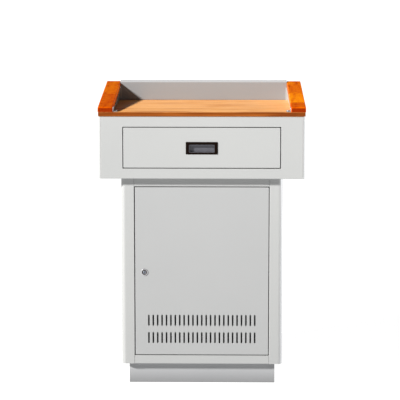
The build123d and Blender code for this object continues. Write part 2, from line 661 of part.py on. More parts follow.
def fence_back_wall():
    """Hollow folded wall along the rear of the desk, open in a slot along its foot."""
    rear = DEPTH / 2
    half = REST_INNER_X - FREE
    top_front = BACK_WALL_Y + BACK_CHAMFER
    outline = FilletPolyline(
        (BACK_WALL_Y, DESK_TOP),
        (BACK_WALL_Y, FENCE_TOP - BACK_CHAMFER),
        (top_front, FENCE_TOP),
        (rear, FENCE_TOP),
        (rear, DESK_TOP),
        radius=BEND,
        close=True,
    )
    section = make_face(outline.edges())
    wall = along_x(section, -half, half)
    wall = wall - along_x(offset(section, amount=-SHEET), -half + SHEET, half - SHEET)
    foot = (top_front + BACK_SLOT_START, rear - BACK_SLOT_MARGIN)
    wall = wall - slab((-half + 3 * SHEET, half - 3 * SHEET), foot, (DESK_TOP - SHEET, DESK_TOP + 2 * SHEET))
    return drill(wall, rear_fence_bolt_points(), UP, FENCE_BOLT[0] + CLEAR, 2 * BOARD - 1)


# Drawer

def drawer_front():
    half = OPENING_X - GAP
    z = (OPENING_LOW + GAP, OPENING_HIGH - GAP)
    front = face_pan((-half, half), z, DRAWER_FRONT, FRONT_DEPTH)
    cup_z = HANDLE_Z - CUP_DROP
    hole_x, hole_z = CUP_WIDTH / 2 + CLEAR, CUP_HEIGHT / 2 + CLEAR
    y = (DRAWER_FRONT - SHEET, DRAWER_FRONT + 2 * SHEET)
    front = front - rounded_block((-hole_x, hole_x), y, (cup_z - hole_z, cup_z + hole_z), PAN_CORNER)
    return drill(front, handle_screw_points(), BACKWARD, HANDLE_SCREW[0] + CLEAR, 2 * SHEET)


def handle_screw_points():
    return [(x, DRAWER_FRONT + SHEET, HANDLE_Z) for x in (-HANDLE_SCREW_X, HANDLE_SCREW_X)]


def drawer_tray():
    x, y = (-TRAY_X, TRAY_X), (DRAWER_FRONT + FRONT_DEPTH + RUNNING, TRAY_REAR)
    return tray(x, y, (TRAY_LOW, TRAY_HIGH), SHEET, "top")


def handle_frame():
    """Bevelled frame of the flush pull, lying on the drawer front."""
    half_x, half_z = HANDLE_WIDTH / 2, HANDLE_HEIGHT / 2
    y = (DRAWER_FRONT - HANDLE_THICK, DRAWER_FRONT)
    frame = rounded_block((-half_x, half_x), y, (HANDLE_Z - half_z, HANDLE_Z + half_z), HANDLE_ROUND)
    frame = chamfer(frame.faces().sort_by(Axis.Y)[0].edges(), HANDLE_BEVEL)
    cup_x, cup_z = CUP_WIDTH / 2 + CLEAR / 2, CUP_HEIGHT / 2 + CLEAR / 2
    centre = HANDLE_Z - CUP_DROP
    through = (y[0] - SHEET, y[1] + SHEET)
    frame = frame - rounded_block((-cup_x, cup_x), through, (centre - cup_z, centre + cup_z), CUP_ROUND)
    rim = frame.faces().sort_by(Axis.Y)[0].inner_wires()[0].edges()
    frame = chamfer(rim, RIM_BEVEL)
    return drill(frame, handle_screw_points(), BACKWARD, HANDLE_SCREW[0] + RUNNING, HANDLE_SCREW[1] + FREE)


def handle_cup():
    """Pressed finger cup behind the frame."""
    cup_x, cup_z = CUP_WIDTH / 2, CUP_HEIGHT / 2
    centre = HANDLE_Z - CUP_DROP
    start = DRAWER_FRONT - HANDLE_THICK + CUP_WALL
    z = (centre - cup_z, centre + cup_z)
    cup = rounded_block((-cup_x, cup_x), (start, start + CUP_DEPTH), z, CUP_ROUND)
    inner_x, inner_z = (CUP_WALL - cup_x, cup_x - CUP_WALL), (z[0] + CUP_WALL, z[1] - CUP_WALL)
    hollow_y = (start - CUP_WALL, start + CUP_DEPTH - CUP_WALL)
    hollow = rounded_block(inner_x, hollow_y, inner_z, HOLLOW_ROUND)
    return cup - hollow


def handle_screws():
    return group(screw(point, BACKWARD, HANDLE_SCREW) for point in handle_screw_points())


# Door

def door_panel():
    x = (-DOOR_X + GAP, DOOR_X - HINGE_GAP)
    panel = face_pan(x, (SILL + GAP, HEAD - GAP), DOOR_FRONT, DOOR_DEPTH)
    skin = (DOOR_FRONT - SHEET, DOOR_FRONT + 2 * SHEET)
    panel = panel - vent_slots(DOOR_SLOTS, DOOR_SLOT_ROWS, skin)
    panel = drill(panel, [(LOCK_X, DOOR_FRONT, LOCK_Z)], BACKWARD, LOCK_BARREL_R + RUNNING, 2 * SHEET)
    pins = [(PIVOT_X, PIVOT_Y, z) for z in (SILL + GAP, HEAD - GAP)]
    return drill(panel, pins, UP, PIN_R + RUNNING, 2 * SHEET)


def door_stiffener():
    """Hat channel up the inside of the door above the vents."""
    skin = DOOR_FRONT + SHEET
    crown = skin + CROWN_DEPTH
    left = [(-STIFFENER_X, skin), (-CROWN_X, skin), (-CROWN_X, crown)]
    right = [(CROWN_X, crown), (CROWN_X, skin), (STIFFENER_X, skin)]
    radii = [BEND, REVERSE_BEND, REVERSE_BEND, BEND]
    return along_z(folded(left + right, radii, Side.LEFT), *STIFFENER_Z)


def hinge_pin(flange, inward):
    """Shouldered pivot pin: flange is the door's edge, inward points along Z into the door."""
    direction = Vector(0, 0, inward)
    edge = Vector(PIVOT_X, PIVOT_Y, flange)
    shaft = rod(edge - direction * PIN_REACH, direction, PIN_R, PIN_REACH + SHEET)
    collar = rod(edge - direction * (GAP - FREE), direction, COLLAR_R, GAP - FREE)
    head = rod(edge + direction * SHEET, direction, PIN_HEAD_R, PIN_HEAD)
    return shaft + collar + head


# Cam lock

def on_lock(y, radius, length):
    """Round piece on the lock's axis, y behind the door's front face."""
    return rod((LOCK_X, DOOR_FRONT + y, LOCK_Z), BACKWARD, radius, length)


def lock_body():
    head = on_lock(-LOCK_HEAD, LOCK_HEAD_R, LOCK_HEAD)
    head = fillet(head.edges().sort_by(Axis.Y)[0], LOCK_ROUND)
    body = head + on_lock(0, LOCK_BARREL_R, LOCK_BARREL)
    body = body - on_lock(-LOCK_HEAD, DIAL_R, DIAL_DEPTH)
    return body - on_lock(-LOCK_HEAD, PLUG_R + RUNNING, LOCK_HEAD + LOCK_BARREL)


def lock_nut():
    ring = hex_rod((LOCK_X, DOOR_FRONT + SHEET, LOCK_Z), BACKWARD, *LOCK_NUT)
    return ring - on_lock(0, LOCK_BARREL_R + RUNNING, FLANGE)


def lock_plug():
    plug = on_lock(PLUG_SUNK - LOCK_HEAD, PLUG_R, LOCK_HEAD - PLUG_SUNK + CAM_FRONT)
    plug = fillet(plug.edges().sort_by(Axis.Y)[0], PLUG_ROUND)
    plug = plug + on_lock(CAM_FRONT, TENON_R, 2 * CAM_THICK)
    front = DOOR_FRONT - LOCK_HEAD
    keyway_x = (LOCK_X - KEYWAY_X, LOCK_X + KEYWAY_X)
    keyway = slab(keyway_x, (front, front + KEYWAY_DEPTH), (LOCK_Z - KEYWAY_Z, LOCK_Z + KEYWAY_Z))
    return plug - keyway


def lock_cam():
    """Cam hanging down, as it stands when the door is unlocked."""
    y = (DOOR_FRONT + CAM_FRONT, DOOR_FRONT + CAM_FRONT + CAM_THICK)
    half = CAM_WIDTH / 2
    z = (LOCK_Z - CAM_REACH, LOCK_Z + CAM_TOP)
    cam = rounded_block((LOCK_X - half, LOCK_X + half), y, z, CAM_ROUND)
    return cam - on_lock(0, TENON_R + RUNNING, 2 * CAM_FRONT)


def cam_nut():
    ring = hex_rod((LOCK_X, DOOR_FRONT + CAM_FRONT + CAM_THICK, LOCK_Z), BACKWARD, *CAM_NUT)
    return ring - on_lock(0, TENON_R + RUNNING, 2 * CAM_FRONT)


# Bolts, nuts and screws, one node for each kind

def fence_bolt_points():
    return side_fence_bolt_points(-1) + side_fence_bolt_points(1) + rear_fence_bolt_points()


def cabinet_bolt_list():
    return cabinet_bolt_points("front") + cabinet_bolt_points("rear")


def carcass_bolts():
    """Bolts of the plinth and of the box floor."""
    points = [point for where in ("front", "rear", "side") for point in plinth_bolt_points(where)]
    return group(bolt(point, UP, BASE_BOLT) for point in points + cabinet_bolt_list())


def carcass_nuts():
    """Nuts under the two sheets that each carcass bolt clamps."""
    floors = plinth_bolt_points("rear") + plinth_bolt_points("side")
    rails = plinth_bolt_points("front") + cabinet_bolt_list()
    grips = [(floors, 2 * BASE_SHEET), (rails, SHEET + BASE_SHEET)]
    starts = [Vector(*point) - Vector(0, 0, grip) for points, grip in grips for point in points]
    return group(nut(start, DOWN, BASE_BOLT) for start in starts)


def fence_bolts():
    return group(bolt(point, DOWN, FENCE_BOLT) for point in fence_bolt_points())


def fence_nuts():
    grip = BOARD + 2 * SHEET
    return group(nut(Vector(*point) + Vector(0, 0, grip), UP, FENCE_BOLT) for point in fence_bolt_points())


def wood_screws():
    """Screws up into the desk board, and from inside the hollow fence up into the armrests."""
    screws = [screw(point, DOWN, WOOD_SCREW) for point in board_screw_points()]
    for sign in SIDES.values():
        for y in ARMREST_SCREW_Y:
            plane = armrest_plane(sign, y)
            screws.append(screw(plane.origin + plane.z_dir * SHEET, plane.z_dir, WOOD_SCREW))
    return group(screws)


def rear_screws():
    """Screws of both rear panels."""
    points = []
    for sign in SIDES.values():
        points += cabinet_screw_points(sign) + box_screw_points(sign)
    return group(screw(point, BACKWARD, SHEET_SCREW) for point in points)


PARTS = {
    "plinth_front": plinth_front(),
    "plinth_rear": plinth_rear(),
    "base_panel": base_panel(),
    "bottom_rail": bottom_rail(),
    "top_rail": top_rail(),
    "rear_top_rail": rear_top_rail(),
    "rear_panel": rear_panel(),
    "shelf": shelf(),
    "shelf_brackets": shelf_brackets(),
    "hinge_bracket_bottom": hinge_bracket(SILL - SHEET - HINGE_PLATE),
    "hinge_bracket_top": hinge_bracket(HEAD + SHEET),
    "stop_pads": stop_pads(),
    "box_floor": box_floor(),
    "front_fascia": front_fascia(),
    "box_rear_panel": box_rear_panel(),
    "box_rear_rail": box_rear_rail(),
    "cable_grommets": cable_grommets(),
    "desktop_board": desktop_board(),
    "desk_edge_band": desk_edge_band(),
    "fence_back_wall": fence_back_wall(),
    "rest_brackets": rest_brackets(),
    "bracket_screws": bracket_screws(),
    "carcass_bolts": carcass_bolts(),
    "carcass_nuts": carcass_nuts(),
    "fence_bolts": fence_bolts(),
    "fence_nuts": fence_nuts(),
    "wood_screws": wood_screws(),
    "rear_screws": rear_screws(),
    "drawer_front": drawer_front(),
    "drawer_tray": drawer_tray(),
    "handle_frame": handle_frame(),
    "handle_cup": handle_cup(),
    "handle_screws": handle_screws(),
    "door_panel": door_panel(),
    "door_stiffener": door_stiffener(),
    "hinge_pin_bottom": hinge_pin(SILL + GAP, 1),
    "hinge_pin_top": hinge_pin(HEAD - GAP, -1),
    "lock_body": lock_body(),
    "lock_nut": lock_nut(),
    "lock_plug": lock_plug(),
    "lock_cam": lock_cam(),
    "cam_nut": cam_nut(),
}
PAIRS = {
    "plinth_{}": plinth_side,
    "cabinet_{}_side": cabinet_side,
    "box_{}_side": box_side,
    "fence_{}_wall": fence_wall,
    "{}_armrest": armrest,
    "{}_drawer_partition": drawer_partition,
    "{}_slide_outer": slide_outer,
    "{}_slide_middle": slide_middle,
    "{}_slide_inner": slide_inner,
}
for pattern, make in PAIRS.items():
    for side, sign in SIDES.items():
        PARTS[pattern.format(side)] = make(sign)

os.makedirs("parts", exist_ok=True)
for name, part in PARTS.items():
    export_step(part, f"parts/{name}.step")
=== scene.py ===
import json
import math

import bpy
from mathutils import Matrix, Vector


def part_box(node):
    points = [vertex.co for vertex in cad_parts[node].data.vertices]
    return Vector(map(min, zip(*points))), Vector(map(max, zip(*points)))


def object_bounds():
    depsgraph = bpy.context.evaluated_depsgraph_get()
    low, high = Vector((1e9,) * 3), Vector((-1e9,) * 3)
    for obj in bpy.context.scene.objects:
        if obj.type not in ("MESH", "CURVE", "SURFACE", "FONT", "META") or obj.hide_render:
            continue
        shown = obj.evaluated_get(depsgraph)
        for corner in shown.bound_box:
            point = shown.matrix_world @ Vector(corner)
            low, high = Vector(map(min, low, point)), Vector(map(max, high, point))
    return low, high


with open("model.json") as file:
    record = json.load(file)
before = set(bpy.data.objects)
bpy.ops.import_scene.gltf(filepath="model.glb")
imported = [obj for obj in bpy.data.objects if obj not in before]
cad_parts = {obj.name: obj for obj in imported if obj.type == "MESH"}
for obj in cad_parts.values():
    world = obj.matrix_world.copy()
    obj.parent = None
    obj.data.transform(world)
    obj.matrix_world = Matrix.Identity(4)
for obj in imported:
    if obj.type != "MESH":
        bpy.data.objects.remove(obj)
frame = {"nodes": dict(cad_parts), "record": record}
CAD_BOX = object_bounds()
NODES = frame["nodes"]

# Lengths are in metres. The speaker stands on the -Y side, as in the CAD.
LOW, HIGH = (Vector(corner) for corner in CAD_BOX)

# Camera: a long lens in front of the desk, a little above it
CAMERA_PLACE = (0.0904, -6.4, 1.6275)
CAMERA_TILT, CAMERA_TURN = 7.97, 0.90
CAMERA_LENS, CAMERA_SHIFT = 154.8, -0.05

# Light: a key from the left and the front, a rim light from the right, and a bright floor and sky
KEY_DIRECTION, KEY_STRENGTH, KEY_SOFTNESS = (1.47, 1.08, -1.0), 8.6, 6.0
KEY_COLOUR = (1.0, 0.985, 0.965)
RIM_DIRECTION, RIM_STRENGTH, RIM_SOFTNESS = (-1.0, -0.05, -0.02), 5.0, 3.0
RIM_COLOUR = (0.97, 0.97, 1.0)
SKY_LOW, SKY_HIGH, SKY_FADE = 1.0, 0.07, 0.12
FLOOR_SIZE, FLOOR_DROP, FLOOR_GLOW, FLOOR_ROUGH = 120.0, 0.0002, 0.98, 0.9
FLOOR_DARK, FLOOR_LIGHT, WHITE = (0.11, 0.11, 0.11), (0.13, 0.13, 0.13), (1.0, 1.0, 1.0)

# Spans that hold most of a noise's values, from a hard change of tone to a soft one
NARROW, MEDIUM, WIDE = (0.4, 0.6), (0.35, 0.65), (0.3, 0.7)
NONE_TO_FULL = (0.0, 1.0)

# Edges and faces: samples of a shader that looks round a point, how far the softened normal leans at a
# sharp edge, and how a face's normal tells that it is turned to the speaker or upright
EDGE_SAMPLES, SHARP_SPAN = 6, (1.0, 0.8)
FRONT_SPAN, UPRIGHT_MOST = (-0.75, -0.92), 0.5

# Sockets of the mix node when it mixes colours
MIX_AMOUNT, MIX_FIRST, MIX_SECOND, MIX_RESULT = 0, 6, 7, 2

# Powder coat: paint and its second tone on each part, and how much brightness a painted shade leaves near the
# floor and on the front. All of them share the speckle, a painted shade in corners, and paler edges that are
# partly wear and partly a painted highlight
STEEL, STEEL_SHADE, STEEL_FLOOR_SHADE = (0.345, 0.350, 0.347), (0.330, 0.336, 0.335), 0.80
DOOR, DOOR_SHADE, DOOR_FLOOR_SHADE, DOOR_FRONT_SHADE = (0.345, 0.350, 0.352), (0.330, 0.336, 0.338), 0.84, 0.89
WALL, WALL_SHADE, WALL_FRONT_SHADE = (0.325, 0.333, 0.342), (0.312, 0.320, 0.330), 0.72
PLINTH, PLINTH_SHADE, PLINTH_FLOOR_SHADE, PLINTH_SHADE_TOP = (0.310, 0.315, 0.322), (0.292, 0.298, 0.306), 0.50, 0.075
SPECKLE_TONE, SPECKLE_MOST, RUBBED_AND_HIGHLIT_TONE, POLISH = 0.72, 0.10, 1.5, -0.1
CORNER_SHADE, CORNER_SHADE_SPAN, CORNER_SHADE_MOST, CORNER_SHADE_REACH = (0.20, 0.18, 0.16), (0.0, 0.6), 0.22, 0.012

# Desk laminate and its edge band
GRAIN_STRETCH, GRAIN_SCALE = 14.0, 2.6
DESK_LIGHT, DESK_MIDDLE, DESK_DARK = (0.83, 0.422, 0.150), (0.725, 0.33, 0.097), (0.42, 0.135, 0.030)
BAND_DARK, BAND_MIDDLE, BAND_LIGHT = (0.12, 0.024, 0.003), (0.19, 0.047, 0.006), (0.27, 0.074, 0.010)
DESK_GLOSS = (0.30, 0.40)

# Armrests: blocks glued end to end, the fingers of their joints, and the wood
BLOCK_LENGTH, FINGER_PITCH, FINGER_LENGTH, FINGER_LEAN = 0.172, 0.0038, 0.010, 0.3
BLOCKS_BEFORE, RIGHT_BLOCK_SHIFT, RIGHT_BLOCK_COUNT = 10, 0.156, 7.0
MOST_BLOCKS, BLOCK_STRIDE = 24.0, 3.1
REST_LIGHT, REST_MIDDLE, REST_DARK = (0.71, 0.207, 0.001), (0.62, 0.146, 0.001), (0.39, 0.058, 0.001)
REST_END_LIGHT, REST_END_DARK = (0.24, 0.025, 0.001), (0.14, 0.010, 0.001)

# Tone of each block by its number: 8 to 11 on the left armrest, 16 to 19 on the right one
BLOCK_TONES = (
    (8, (0.66, 0.40, 0.5)),
    (9, (0.66, 0.39, 0.5)),
    (10, (0.77, 0.61, 0.7)),
    (11, (0.74, 0.57, 0.7)),
    (16, (0.72, 0.45, 0.5)),
    (17, (1.0, 1.0, 1.0)),
    (18, (0.88, 0.72, 0.8)),
    (19, (0.82, 0.66, 0.8)),
)

# Small metal parts: colour, paler colour along the edges (wear and a painted highlight), roughness,
# metallic, and specular level
HANDLE = (0.006, 0.003, 0.002), (0.014, 0.009, 0.006), 0.50, 0.0, 0.02
CUP = (0.085, 0.085, 0.10), (0.42, 0.42, 0.45), 0.36, 0.35, 0.5
PLUG = (0.24, 0.26, 0.30), (0.55, 0.57, 0.60), 0.30, 1.0, 0.5
PIN = (0.05, 0.05, 0.05), (0.12, 0.12, 0.12), 0.5, 0.5, 0.2
# Tone of the clouds in the metal, and of the painted shade in its corners
CLOUD_TONE, CORNER_SHADE_TONE = 0.6, 0.3

# Lock: chrome, paler along its edges from wear and a painted highlight, and a dark enamelled ring round
# the plug, from one radius to the other
CHROME, CHROME_RUBBED_AND_HIGHLIT, CHROME_SMEAR = (0.62, 0.62, 0.64), (0.85, 0.85, 0.86), 0.45
ENAMEL_DARK, ENAMEL_LIGHT = (0.010, 0.008, 0.008), (0.036, 0.020, 0.015)
RING_INNER, RING_OUTER = 0.0060, 0.0097

# Zinc plate, with painted shade in its corners, and rubber
ZINC_DARK, ZINC_LIGHT = (0.50, 0.51, 0.53), (0.66, 0.67, 0.70)
ZINC_MARKS, ZINC_CORNER_SHADE = (0.42, 0.42, 0.44), (0.16, 0.15, 0.14)
RUBBER_DARK, RUBBER_LIGHT, RUBBER_BLOOM = (0.016, 0.016, 0.017), (0.035, 0.034, 0.033), (0.07, 0.068, 0.065)


def scaled(colour, factor):
    return tuple(min(1.0, factor * part) for part in colour)


def middle_of(node):
    low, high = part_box(node)
    return (low + high) / 2


class Look:
    """A material, with short calls for the nodes that feed its shader."""

    def __init__(self, name):
        self.material = bpy.data.materials.new(name)
        self.material.use_nodes = True
        self.tree = self.material.node_tree
        self.tree.nodes.clear()
        self.shader = self.tree.nodes.new("ShaderNodeBsdfPrincipled")
        output = self.tree.nodes.new("ShaderNodeOutputMaterial")
        self.tree.links.new(self.shader.outputs["BSDF"], output.inputs["Surface"])
        self.place = self.tree.nodes.new("ShaderNodeTexCoord").outputs["Object"]

    def add(self, kind, inputs=None, **settings):
        """New node: settings are its properties, inputs are numbers, colours or nodes' outputs."""
        node = self.tree.nodes.new(kind)
        for name, value in settings.items():
            setattr(node, name, value)
        for name, value in (inputs or {}).items():
            self.feed(node.inputs[name], value)
        return node

    def feed(self, socket, value):
        if isinstance(value, bpy.types.NodeSocket):
            self.tree.links.new(value, socket)
        elif socket.type == "RGBA":
            socket.default_value = (*value, 1.0)
        else:
            socket.default_value = value

    def set(self, **inputs):
        """Inputs of the shader, with _ for a blank in their names."""
        for name, value in inputs.items():
            self.feed(self.shader.inputs[name.replace("_", " ")], value)

    def stretched(self, scale, place=None):
        inputs = {"Vector": place or self.place, "Scale": scale}
        return self.add("ShaderNodeMapping", inputs).outputs["Vector"]

    def noise(self, scale, detail=2.0, rough=0.5, place=None, twist=0.0):
        inputs = {"Scale": scale, "Detail": detail, "Roughness": rough, "Distortion": twist}
        inputs["Vector"] = place or self.place
        return self.add("ShaderNodeTexNoise", inputs).outputs["Fac"]

    def ramp(self, value, *stops, steps=False):
        """Colour along a value: stops are (position, colour) pairs."""
        node = self.add("ShaderNodeValToRGB", {"Fac": value})
        node.color_ramp.interpolation = "CONSTANT" if steps else "LINEAR"
        elements = node.color_ramp.elements
        while len(elements) < len(stops):
            elements.new(0.5)
        for element, (position, colour) in zip(elements, stops):
            element.position = position
            element.color = (*colour, 1.0)
        return node.outputs["Color"]

    def mix(self, amount, first, second, blend="MIX"):
        node = self.add("ShaderNodeMix", data_type="RGBA", blend_type=blend)
        self.feed(node.inputs[MIX_AMOUNT], amount)
        self.feed(node.inputs[MIX_FIRST], first)
        self.feed(node.inputs[MIX_SECOND], second)
        return node.outputs[MIX_RESULT]

    def tint(self, colour, tone):
        return self.mix(1.0, colour, tone, "MULTIPLY")

    def math(self, operation, first, second=0.0):
        node = self.add("ShaderNodeMath", operation=operation)
        self.feed(node.inputs[0], first)
        self.feed(node.inputs[1], second)
        return node.outputs["Value"]

    def plus(self, first, second):
        return self.math("ADD", first, second)

    def minus(self, first, second):
        return self.math("SUBTRACT", first, second)

    def times(self, first, second):
        return self.math("MULTIPLY", first, second)

    def spread(self, value, span, to):
        """Value within a span, carried over to another range and held at its ends."""
        inputs = {"Value": value, "From Min": span[0], "From Max": span[1], "To Min": to[0], "To Max": to[1]}
        return self.add("ShaderNodeMapRange", inputs).outputs["Result"]

    def bump(self, height, distance, strength=1.0, normal=None):
        inputs = {"Height": height, "Distance": distance, "Strength": strength}
        if normal:
            inputs["Normal"] = normal
        return self.add("ShaderNodeBump", inputs).outputs["Normal"]

    def round_edges(self, radius):
        return self.add("ShaderNodeBevel", {"Radius": radius}, samples=EDGE_SAMPLES).outputs["Normal"]

    def edges(self, softened):
        """Near 1 along sharp edges, 0 on flat faces."""
        flat = self.add("ShaderNodeNewGeometry").outputs["Normal"]
        dot = self.add("ShaderNodeVectorMath", operation="DOT_PRODUCT")
        self.feed(dot.inputs[0], flat)
        self.feed(dot.inputs[1], softened)
        return self.spread(dot.outputs["Value"], SHARP_SPAN, NONE_TO_FULL)

    def corners(self, distance):
        """1 in the open, towards 0 in corners and gaps."""
        node = self.add("ShaderNodeAmbientOcclusion", {"Distance": distance}, samples=EDGE_SAMPLES)
        return node.outputs["AO"]

    def axes(self):
        return self.add("ShaderNodeSeparateXYZ", {"Vector": self.place}).outputs

    def facing(self, axis):
        normal = self.add("ShaderNodeTexCoord").outputs["Normal"]
        return self.add("ShaderNodeSeparateXYZ", {"Vector": normal}).outputs[axis]

    def front_faces(self):
        """1 on faces turned to the speaker, 0 elsewhere."""
        return self.spread(self.facing("Y"), FRONT_SPAN, NONE_TO_FULL)

    def upright_faces(self):
        return self.math("LESS_THAN", self.math("ABSOLUTE", self.facing("Z")), UPRIGHT_MOST)


def powder_coat(name, colour, shade, foot=1.0, front=1.0, shade_top=HIGH.z):
    """Fine orange-peel paint on sheet steel. It is a little paler along its edges, from wear and a painted
    highlight, and darker in its corners with painted shade.

    foot is how much of its brightness is left near the floor, under a painted shade that fades out at the
    height given as the last argument. front is how much is left on faces turned to the speaker, also a
    painted shade.
    """
    look = Look(name)
    patches = look.noise(scale=2.2, detail=3.0)
    speckle = look.noise(scale=900.0, detail=1.0)
    paint = look.mix(look.spread(patches, WIDE, NONE_TO_FULL), colour, shade)
    speckled = look.spread(speckle, MEDIUM, (0.0, SPECKLE_MOST))
    paint = look.mix(speckled, paint, scaled(colour, SPECKLE_TONE))
    soft = look.round_edges(radius=0.0014)
    # Edges paler: partly wear, partly a painted highlight
    worn_and_highlit = look.times(look.edges(soft), look.spread(look.noise(scale=60.0, detail=3.0), NARROW, (0.45, 0.85)))
    paint = look.mix(worn_and_highlit, paint, scaled(colour, RUBBED_AND_HIGHLIT_TONE))
    # Painted shade: the paint turns darker in corners and gaps, where the occlusion node finds little open
    # space
    paint = look.mix(look.spread(look.corners(CORNER_SHADE_REACH), CORNER_SHADE_SPAN, (CORNER_SHADE_MOST, 0.0)), paint, CORNER_SHADE)
    # Painted shade: darker towards the floor, fading out at the given height
    paint = look.tint(paint, look.spread(look.axes()["Z"], (LOW.z, shade_top), (foot, 1.0)))
    # Painted shade: faces turned to the speaker are darker than the others
    paint = look.tint(paint, look.spread(look.front_faces(), NONE_TO_FULL, (1.0, front)))
    matt = look.spread(look.noise(scale=14.0, detail=4.0), WIDE, (0.36, 0.46))
    rough = look.plus(matt, look.times(worn_and_highlit, POLISH))
    peel = look.bump(look.noise(scale=420.0, detail=2.0), distance=0.00012, strength=0.5, normal=soft)
    waves = look.bump(look.noise(scale=3.5, detail=1.0), distance=0.0012, strength=0.12, normal=peel)
    look.set(Base_Color=paint, Roughness=rough, Normal=waves, IOR=1.5)
    return look.material


def desk_laminate(name):
    """Wood-grain laminate with a darker band glued round its edges, its grain along X."""
    look = Look(name)
    long_grain = look.stretched((1.0, GRAIN_STRETCH, GRAIN_STRETCH))
    fine_grain = look.stretched((3.0, 10 * GRAIN_STRETCH, 10 * GRAIN_STRETCH))
    streaks = look.noise(GRAIN_SCALE, detail=6.0, rough=0.62, place=long_grain, twist=0.6)
    pores = look.noise(GRAIN_SCALE, detail=3.0, rough=0.7, place=fine_grain)
    wood = look.ramp(
        streaks, (0.36, DESK_DARK), (0.46, DESK_MIDDLE), (0.58, DESK_LIGHT), (0.70, DESK_MIDDLE)
    )
    wood = look.mix(look.spread(pores, (0.30, 0.44), (0.55, 0.0)), wood, DESK_DARK)
    patches = look.noise(scale=1.4, detail=2.0)
    wood = look.mix(look.spread(patches, MEDIUM, (0.0, 0.25)), wood, DESK_MIDDLE)
    band = look.ramp(streaks, (0.36, BAND_DARK), (0.50, BAND_MIDDLE), (0.62, BAND_LIGHT))
    wood = look.mix(look.upright_faces(), wood, band)
    soft = look.round_edges(radius=0.0006)
    rough = look.spread(look.noise(scale=9.0, detail=4.0), WIDE, DESK_GLOSS)
    normal = look.bump(pores, distance=0.00008, strength=0.35, normal=soft)
    look.set(Base_Color=wood, Roughness=rough, Normal=normal, IOR=1.48, Specular_IOR_Level=0.05)
    return look.material


def finger_joints(look):
    """Blocks along Y with zigzag ends: returns (block's number, place within the block from 0 to 1)."""
    x, y, z = look.axes()
    right = look.math("GREATER_THAN", x, 0.0)
    teeth = look.math("PINGPONG", look.plus(x, look.times(z, FINGER_LEAN)), FINGER_PITCH)
    zigzag = look.times(teeth, FINGER_LENGTH / FINGER_PITCH)
    start = look.plus(look.times(right, RIGHT_BLOCK_SHIFT), BLOCKS_BEFORE * BLOCK_LENGTH)
    blocks = look.math("DIVIDE", look.plus(look.plus(y, zigzag), start), BLOCK_LENGTH)
    number = look.plus(look.math("FLOOR", blocks), look.times(right, RIGHT_BLOCK_COUNT))
    return number, look.math("FRACT", blocks)


def finger_jointed_wood(name):
    """Lacquered blocks of wood glued end to end, each with its own grain and tone, and end grain."""
    look = Look(name)
    number, within = finger_joints(look)
    shift = look.add("ShaderNodeCombineXYZ", {"X": number, "Y": look.times(number, BLOCK_STRIDE)})
    moved = look.add("ShaderNodeVectorMath", operation="ADD")
    look.feed(moved.inputs[0], look.place)
    look.feed(moved.inputs[1], shift.outputs["Vector"])
    long_grain = look.stretched((12.0, 1.0, 12.0), moved.outputs["Vector"])
    fine_grain = look.stretched((160.0, 5.0, 160.0), moved.outputs["Vector"])
    streaks = look.noise(scale=3.4, detail=6.0, rough=0.62, place=long_grain, twist=0.8)
    pores = look.noise(scale=3.0, detail=3.0, rough=0.7, place=fine_grain)
    wood = look.ramp(streaks, (0.28, REST_DARK), (0.45, REST_MIDDLE), (0.62, REST_LIGHT))
    stops = [((block - 0.5) / MOST_BLOCKS, tone) for block, tone in BLOCK_TONES]
    wood = look.tint(wood, look.ramp(look.math("DIVIDE", number, MOST_BLOCKS), *stops, steps=True))
    wood = look.mix(look.spread(pores, (0.28, 0.42), (0.55, 0.0)), wood, REST_DARK)
    from_middle = look.math("ABSOLUTE", look.minus(within, 0.5))
    wood = look.mix(look.spread(from_middle, (0.497, 0.4995), (0.0, 0.75)), wood, REST_DARK)
    wave = {"Vector": look.place, "Scale": 90.0, "Distortion": 5.0, "Detail": 2.0}
    rings = look.add("ShaderNodeTexWave", wave, wave_type="RINGS", rings_direction="Y")
    end_grain = look.ramp(rings.outputs["Fac"], (0.2, REST_END_DARK), (0.8, REST_END_LIGHT))
    wood = look.mix(look.front_faces(), wood, end_grain)
    soft = look.round_edges(radius=0.0010)
    wood = look.mix(look.times(look.edges(soft), 0.35), wood, REST_DARK)
    rough = look.spread(look.noise(scale=30.0, detail=4.0), WIDE, (0.22, 0.34))
    normal = look.bump(pores, distance=0.00010, strength=0.4, normal=soft)
    look.set(Base_Color=wood, Roughness=rough, Normal=normal, IOR=1.45, Specular_IOR_Level=0.01)
    return look.material


def cast_metal(name, colour, rubbed_and_highlit, rough, metallic, shine):
    """Plated or lacquered metal. It is bright on its edges, from wear and a painted highlight, and darker in
    its corners with painted shade.
    """
    look = Look(name)
    soft = look.round_edges(radius=0.0005)
    clouds = look.noise(scale=120.0, detail=4.0)
    # Edges brighter: partly wear, partly a painted highlight
    worn_and_highlit = look.times(look.edges(soft), look.spread(look.noise(scale=300.0, detail=3.0), MEDIUM, (0.2, 0.9)))
    metal = look.mix(look.spread(clouds, MEDIUM, (0.0, 0.35)), colour, scaled(colour, CLOUD_TONE))
    metal = look.mix(worn_and_highlit, metal, rubbed_and_highlit)
    # Painted shade: darker in corners and gaps, where the occlusion node finds little open space
    corner_shade = look.spread(look.corners(distance=0.004), (0.0, 0.7), (0.5, 0.0))
    metal = look.mix(corner_shade, metal, scaled(colour, CORNER_SHADE_TONE))
    roughness = look.spread(look.noise(scale=500.0, detail=2.0), WIDE, (rough - 0.05, rough + 0.08))
    normal = look.bump(look.noise(scale=1500.0, detail=2.0), distance=0.00003, strength=0.4, normal=soft)
    look.set(Base_Color=metal, Roughness=roughness, Normal=normal)
    look.set(Metallic=metallic, Specular_IOR_Level=shine)
    return look.material


